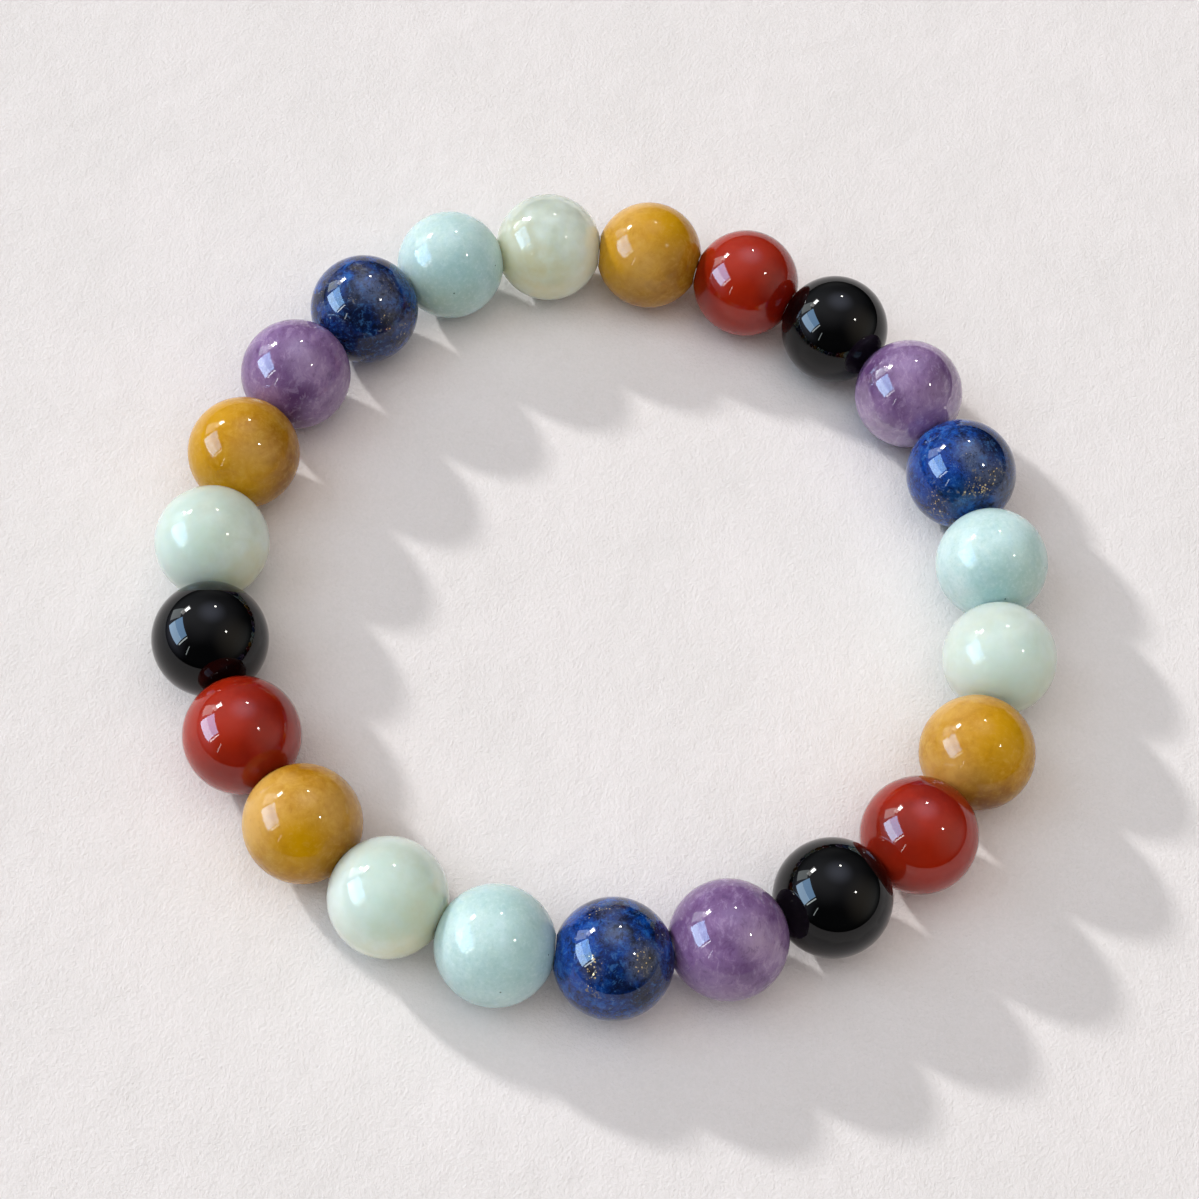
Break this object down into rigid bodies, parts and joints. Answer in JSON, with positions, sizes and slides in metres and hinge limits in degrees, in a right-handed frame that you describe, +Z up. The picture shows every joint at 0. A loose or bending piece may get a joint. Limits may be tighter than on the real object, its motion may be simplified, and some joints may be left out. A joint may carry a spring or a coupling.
{
  "type": "beaded bracelet",
  "caption": "Stretch bracelet: a closed loop of polished round stone beads in seven colours, strung side by side on a hidden elastic cord, worn round the wrist.",
  "frame": {"origin": "middle of the loop's outer box, on the surface that the beads lie on", "axes": "+Z up, along the middle of the wrist opening; the loop lies in the XY plane with its slightly longer way nearly along Y"},
  "size_m": [0.0638, 0.0652, 0.008],
  "materials": {
    "pale_jade": "polished, slightly translucent",
    "yellow_jade": "polished, cloudy ochre",
    "red_jasper": "polished, nearly even brick red",
    "black_onyx": "mirror-polished",
    "amethyst": "polished, veiled and translucent",
    "lapis": "polished, with grey patches and gold-coloured flecks",
    "amazonite": "polished, finely mottled",
    "elastic": "satin, milky"
  },
  "bodies": {
    "root": {"bead_01_pale_jade": "pale_jade", "bead_02_yellow_jade": "yellow_jade", "bead_03_red_jasper": "red_jasper", "bead_04_black_onyx": "black_onyx", "bead_05_amethyst": "amethyst", "bead_06_lapis": "lapis", "bead_07_amazonite": "amazonite", "bead_08_pale_jade": "pale_jade", "bead_09_yellow_jade": "yellow_jade", "bead_10_red_jasper": "red_jasper", "bead_11_black_onyx": "black_onyx", "bead_12_amethyst": "amethyst", "bead_13_lapis": "lapis", "bead_14_amazonite": "amazonite", "bead_15_pale_jade": "pale_jade", "bead_16_yellow_jade": "yellow_jade", "bead_17_red_jasper": "red_jasper", "bead_18_black_onyx": "black_onyx", "bead_19_pale_jade": "pale_jade", "bead_20_yellow_jade": "yellow_jade", "bead_21_amethyst": "amethyst", "bead_22_lapis": "lapis", "bead_23_amazonite": "amazonite", "elastic_cord": "elastic"}
  },
  "joints": []
}
